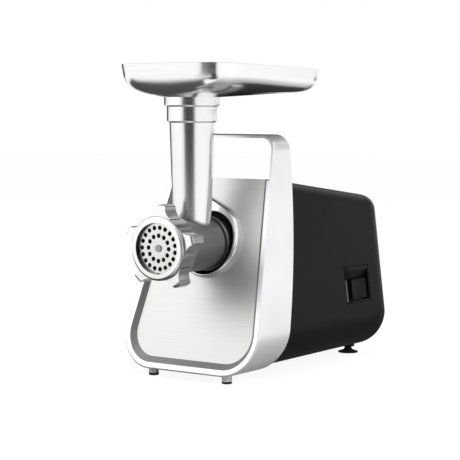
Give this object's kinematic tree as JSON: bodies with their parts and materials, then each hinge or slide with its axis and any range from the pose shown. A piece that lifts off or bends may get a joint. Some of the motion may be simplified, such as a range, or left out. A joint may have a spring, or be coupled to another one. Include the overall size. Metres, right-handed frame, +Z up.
{
  "type": "electric meat grinder",
  "caption": "Electric meat grinder with a leaning silver front, black rear housing, loop handle, upright feed tube with steel tray, and a screw-on cutting head.",
  "frame": {"origin": "on the floor, under the middle of the whole outline", "axes": "+Z up, +Y from the grinding head to the back, +X to the side with the switch"},
  "size_m": [0.1656, 0.334, 0.3163],
  "materials": {
    "silver_paint": "silver paint",
    "brushed_panel": "brushed",
    "grey_bevel": "satin",
    "bright_bezel": "satin",
    "black_plastic": "matte",
    "black_shell": "gloss",
    "cast_aluminium": "polished",
    "nut_aluminium": "satin",
    "stainless": "polished",
    "hard_steel": "ground",
    "lamination": "matte",
    "copper": "enamelled",
    "bronze": "sintered",
    "nylon": "satin",
    "carbon": "matte",
    "rubber": "matte",
    "zinc_screw": "plated",
    "lock_silver": "satin"
  },
  "bodies": {
    "base": {"front_frame": "silver_paint", "front_panel": "brushed_panel", "panel_strip": "grey_bevel", "head_bezel": "bright_bezel", "head_socket": "black_plastic", "socket_screws": "zinc_screw", "rear_housing": "black_shell", "base_plate": "black_plastic", "base_screws": "zinc_screw", "front_foot_posts": "silver_paint", "front_foot_pads": "rubber", "rear_suction_feet": "rubber", "gearbox_case": "cast_aluminium", "gearbox_cover": "cast_aluminium", "gearbox_screws": "zinc_screw", "first_axle": "hard_steel", "second_axle": "hard_steel", "output_bushes": "bronze", "motor_front_bracket": "cast_aluminium", "motor_rear_bracket": "cast_aluminium", "stator_core": "lamination", "field_coils": "copper", "motor_bearings": "bronze", "motor_bolts": "zinc_screw", "brush_holders": "black_plastic", "carbon_brushes": "carbon", "motor_cushion": "rubber", "switch_surround": "black_plastic", "switch_block": "black_plastic", "cord_gland": "rubber"},
    "armature": {"armature_shaft": "hard_steel", "armature_core": "lamination", "armature_winding": "copper", "commutator": "copper", "cooling_fan": "nylon", "motor_pinion": "hard_steel"},
    "first_reduction": {"first_gear": "nylon"},
    "second_reduction": {"second_gear": "hard_steel"},
    "output": {"output_gear": "nylon", "output_shaft": "hard_steel", "drive_coupler": "hard_steel", "auger": "cast_aluminium", "knife": "hard_steel"},
    "head": {"grinder_head": "cast_aluminium", "auger_bush": "nylon"},
    "tray": {"feed_tray": "stainless"},
    "plate": {"cutting_plate": "hard_steel"},
    "nut": {"ring_nut": "nut_aluminium"},
    "rocker": {"rocker_switch": "black_plastic"},
    "lock": {"lock_button": "lock_silver"}
  },
  "joints": [
    {"name": "armature_spin", "type": "hinge", "parent": "base", "child": "armature", "pos_m": [0, 0, 0.062], "axis": [0, 1, 0], "continuous": true},
    {"name": "first_gear_spin", "type": "hinge", "parent": "base", "child": "first_reduction", "pos_m": [0.00325, 0, 0.09152], "axis": [0, 1, 0], "continuous": true},
    {"name": "second_gear_spin", "type": "hinge", "parent": "base", "child": "second_reduction", "pos_m": [-0.027, 0, 0.09938], "axis": [0, 1, 0], "continuous": true},
    {"name": "auger_spin", "type": "hinge", "parent": "base", "child": "output", "pos_m": [0, 0, 0.136], "axis": [0, 1, 0], "continuous": true},
    {"name": "head_twist", "type": "hinge", "parent": "base", "child": "head", "pos_m": [0, 0, 0.136], "axis": [0, -1, 0], "range_deg": [0, 45]},
    {"name": "tray_lift", "type": "slide", "parent": "head", "child": "tray", "axis": [0, 0, 1], "range_m": [0, 0.03]},
    {"name": "plate_draw", "type": "slide", "parent": "head", "child": "plate", "axis": [0, -1, 0], "range_m": [0, 0.018]},
    {"name": "nut_unscrew", "type": "hinge", "parent": "plate", "child": "nut", "pos_m": [0, 0, 0.136], "axis": [0, -1, 0], "range_deg": [0, 2160]},
    {"name": "rocker_tilt", "type": "hinge", "parent": "base", "child": "rocker", "pos_m": [0.07067, 0.0918, 0.077], "axis": [-0.1221, 0, 0.9925], "range_deg": [-8, 8]},
    {"name": "lock_press", "type": "slide", "parent": "base", "child": "lock", "axis": [0, 1, 0], "range_m": [0, 0.003], "stiffness_N_per_m": 600, "springref_m": -0.002}
  ],
  "couplings": [
    {"joint": "armature_spin", "follows": "auger_spin", "ratio": -84},
    {"joint": "first_gear_spin", "follows": "auger_spin", "ratio": 16.8},
    {"joint": "second_gear_spin", "follows": "auger_spin", "ratio": -4.2},
    {"joint": "plate_draw", "follows": "nut_unscrew", "m_per_rad": 0.00047746}
  ]
}
